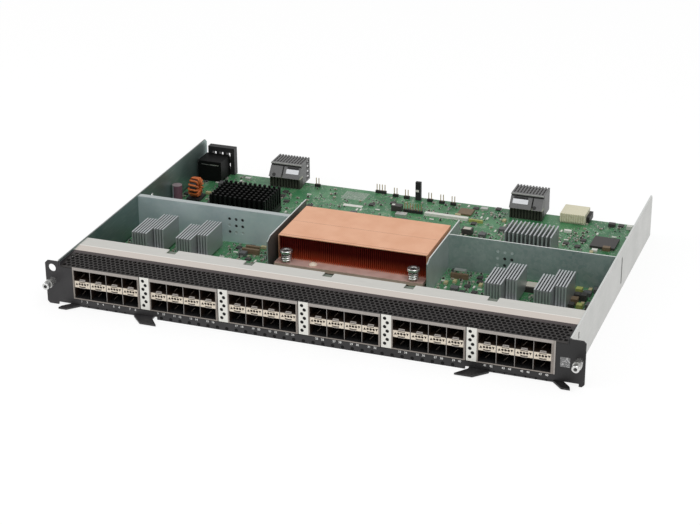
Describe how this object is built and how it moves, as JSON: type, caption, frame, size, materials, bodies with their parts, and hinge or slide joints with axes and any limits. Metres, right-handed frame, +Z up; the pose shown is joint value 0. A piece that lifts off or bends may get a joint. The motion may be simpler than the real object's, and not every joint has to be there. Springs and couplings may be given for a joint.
{
  "type": "switch line card",
  "caption": "Line card for a modular switch: a steel tray with a black front panel of ganged pluggable ports, heat sinks, backplane connectors, ejector levers and thumbscrews.",
  "frame": {"origin": "middle of the tray floor's underside, on the face the card rests on", "axes": "+X to the right seen from the front panel, +Y from the front panel to the backplane connectors, +Z up"},
  "size_m": [0.444, 0.3142, 0.0386],
  "materials": {
    "galvanised_steel": "zinc-coated sheet, satin",
    "plated_steel": "nickel-plated, satin",
    "bright_steel": "bright plated",
    "black_paint": "fine black powder coat",
    "strip_steel": "bright perforated sheet",
    "cage_steel": "thin plated spring steel",
    "black_plastic": "black moulding",
    "chip_black": "moulded package",
    "green_board": "green solder mask",
    "copper": null,
    "copper_wire": "enamelled copper wire",
    "sink_aluminium": "milled",
    "black_aluminium": "black anodised",
    "grey_plastic": "grey moulding",
    "cream_plastic": "cream moulding",
    "white_plastic": "white moulding",
    "capacitor_sleeve": "shrink sleeve",
    "gold_pins": "gold plated"
  },
  "bodies": {
    "card": {"tray": "galvanised_steel", "top_bracket": "galvanised_steel", "left_baffle": "galvanised_steel", "right_baffle": "galvanised_steel", "left_duct_wall": "galvanised_steel", "right_duct_wall": "galvanised_steel", "board_posts": "plated_steel", "board_screws": "plated_steel", "board_clip": "plated_steel", "faceplate": "black_paint", "vent_grille": "black_paint", "perforated_strips": "strip_steel", "cage_shells": "cage_steel", "cage_frames": "cage_steel", "cage_dividers": "cage_steel", "port_separators": "cage_steel", "cage_bases": "black_plastic", "host_connectors": "black_plastic", "main_board": "green_board", "switch_chip": "chip_black", "port_chips": "chip_black", "fabric_chip": "chip_black", "control_chip": "chip_black", "copper_base": "copper", "copper_fins": "copper", "sink_posts": "plated_steel", "sink_screws": "bright_steel", "sink_springs": "bright_steel", "port_sink_a": "sink_aluminium", "port_sink_b": "sink_aluminium", "port_sink_c": "sink_aluminium", "port_sink_d": "sink_aluminium", "port_sink_pins": "black_plastic", "rear_sink": "sink_aluminium", "power_brick": "black_plastic", "brick_sink": "black_aluminium", "left_signal_connector": "grey_plastic", "right_signal_connector": "grey_plastic", "left_signal_wafers": "black_plastic", "right_signal_wafers": "black_plastic", "power_block": "black_plastic", "power_shroud": "black_plastic", "side_plug": "cream_plastic", "side_latch": "black_plastic", "choke_base": "black_plastic", "choke_winding": "copper_wire", "capacitor": "capacitor_sleeve", "header_bases": "black_plastic", "header_pins": "gold_pins", "test_tower": "black_plastic", "relays": "black_plastic", "strip_socket": "white_plastic", "left_lever_pivot": "bright_steel", "right_lever_pivot": "bright_steel", "left_ferrule": "bright_steel", "right_ferrule": "bright_steel"},
    "left_lever": {"left_lever": "black_paint"},
    "right_lever": {"right_lever": "black_paint"},
    "left_thumbscrew": {"left_thumbscrew": "bright_steel"},
    "right_thumbscrew": {"right_thumbscrew": "bright_steel"}
  },
  "joints": [
    {"name": "left_lever_swing", "type": "hinge", "parent": "card", "child": "left_lever", "pos_m": [-0.1804, -0.1391, 0.00135], "axis": [0, 0, -1], "range_deg": [0, 45]},
    {"name": "right_lever_swing", "type": "hinge", "parent": "card", "child": "right_lever", "pos_m": [0.186, -0.1391, 0.00135], "axis": [0, 0, 1], "range_deg": [0, 45]},
    {"name": "left_thumbscrew_turn", "type": "hinge", "parent": "card", "child": "left_thumbscrew", "pos_m": [-0.2158, -0.1466, 0.0208], "axis": [0, -1, 0], "continuous": true},
    {"name": "right_thumbscrew_turn", "type": "hinge", "parent": "card", "child": "right_thumbscrew", "pos_m": [0.2176, -0.1466, 0.0208], "axis": [0, -1, 0], "continuous": true}
  ]
}
